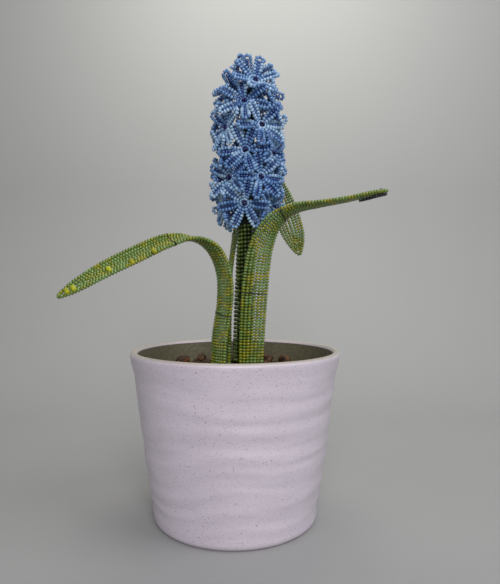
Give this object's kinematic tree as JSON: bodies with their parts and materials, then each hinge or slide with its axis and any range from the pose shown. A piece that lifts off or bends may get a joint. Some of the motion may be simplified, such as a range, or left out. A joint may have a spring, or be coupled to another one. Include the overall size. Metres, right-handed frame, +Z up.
{
  "type": "beaded hyacinth in a pot",
  "caption": "Hyacinth made of glass seed beads on wire, with a dense blue flower head on a beaded stem and arching strap leaves, standing in a round glazed stoneware pot.",
  "frame": {"origin": "middle of the pot's flat underside", "axes": "+Z up along the pot's axis, -Y the front, +X to the right of the front"},
  "size_m": [0.1563, 0.11, 0.2436],
  "materials": {
    "stoneware": "satin glaze with fine dark speckles",
    "soil": "rough crumbs",
    "bark": "rough",
    "floral_tape": "matte crepe tape over wire",
    "green_beads": "glossy glass beads",
    "blue_beads": "glossy glass beads"
  },
  "bodies": {
    "root": {"bark_chip_1": "bark", "bark_chip_2": "bark", "bark_chip_3": "bark", "bark_chip_4": "bark", "bark_chip_5": "bark", "bark_chip_6": "bark", "bark_chip_7": "bark", "bark_chip_8": "bark", "floret_01": "blue_beads", "floret_02": "blue_beads", "floret_03": "blue_beads", "floret_04": "blue_beads", "floret_05": "blue_beads", "floret_06": "blue_beads", "floret_07": "blue_beads", "floret_08": "blue_beads", "floret_09": "blue_beads", "floret_10": "blue_beads", "floret_11": "blue_beads", "floret_12": "blue_beads", "floret_13": "blue_beads", "floret_14": "blue_beads", "floret_15": "blue_beads", "floret_16": "blue_beads", "floret_17": "blue_beads", "floret_18": "blue_beads", "floret_19": "blue_beads", "floret_20": "blue_beads", "floret_21": "blue_beads", "floret_22": "blue_beads", "floret_23": "blue_beads", "floret_24": "blue_beads", "floret_25": "blue_beads", "floret_26": "blue_beads", "floret_27": "blue_beads", "leaf_back": "green_beads", "leaf_left": "green_beads", "leaf_right": "green_beads", "pot": "stoneware", "soil": "soil", "stem_beading": "green_beads", "stem_core": "floral_tape"}
  },
  "joints": []
}
